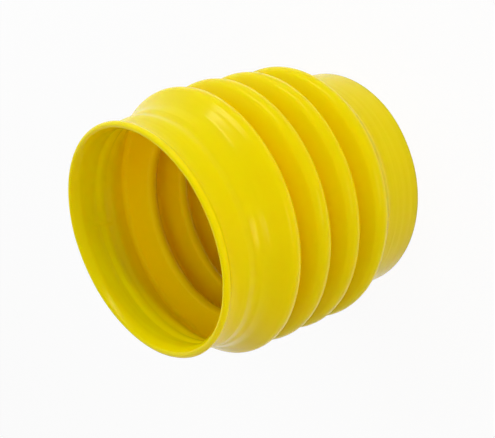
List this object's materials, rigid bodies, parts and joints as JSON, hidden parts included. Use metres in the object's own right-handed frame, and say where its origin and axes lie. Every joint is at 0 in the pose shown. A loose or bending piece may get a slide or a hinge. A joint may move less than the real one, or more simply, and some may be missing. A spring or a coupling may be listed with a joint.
{
  "type": "rubber bellows boot",
  "caption": "Moulded yellow rubber bellows tube with a flared lip and clamp neck, round rolls and a plain sleeve; joins and seals two machine parts that slide.",
  "frame": {"origin": "centre of the ring on which the boot stands, on the axis, at the level of its foot", "axes": "+Z is the boot's axis, from the plain sleeve up to the flared mouth; +X and +Y are any two square directions of a body of revolution"},
  "size_m": [0.2066, 0.2066, 0.2],
  "materials": {
    "yellow_rubber": "glossy moulded rubber"
  },
  "bodies": {
    "root": {"bellows_boot": "yellow_rubber"}
  },
  "joints": []
}
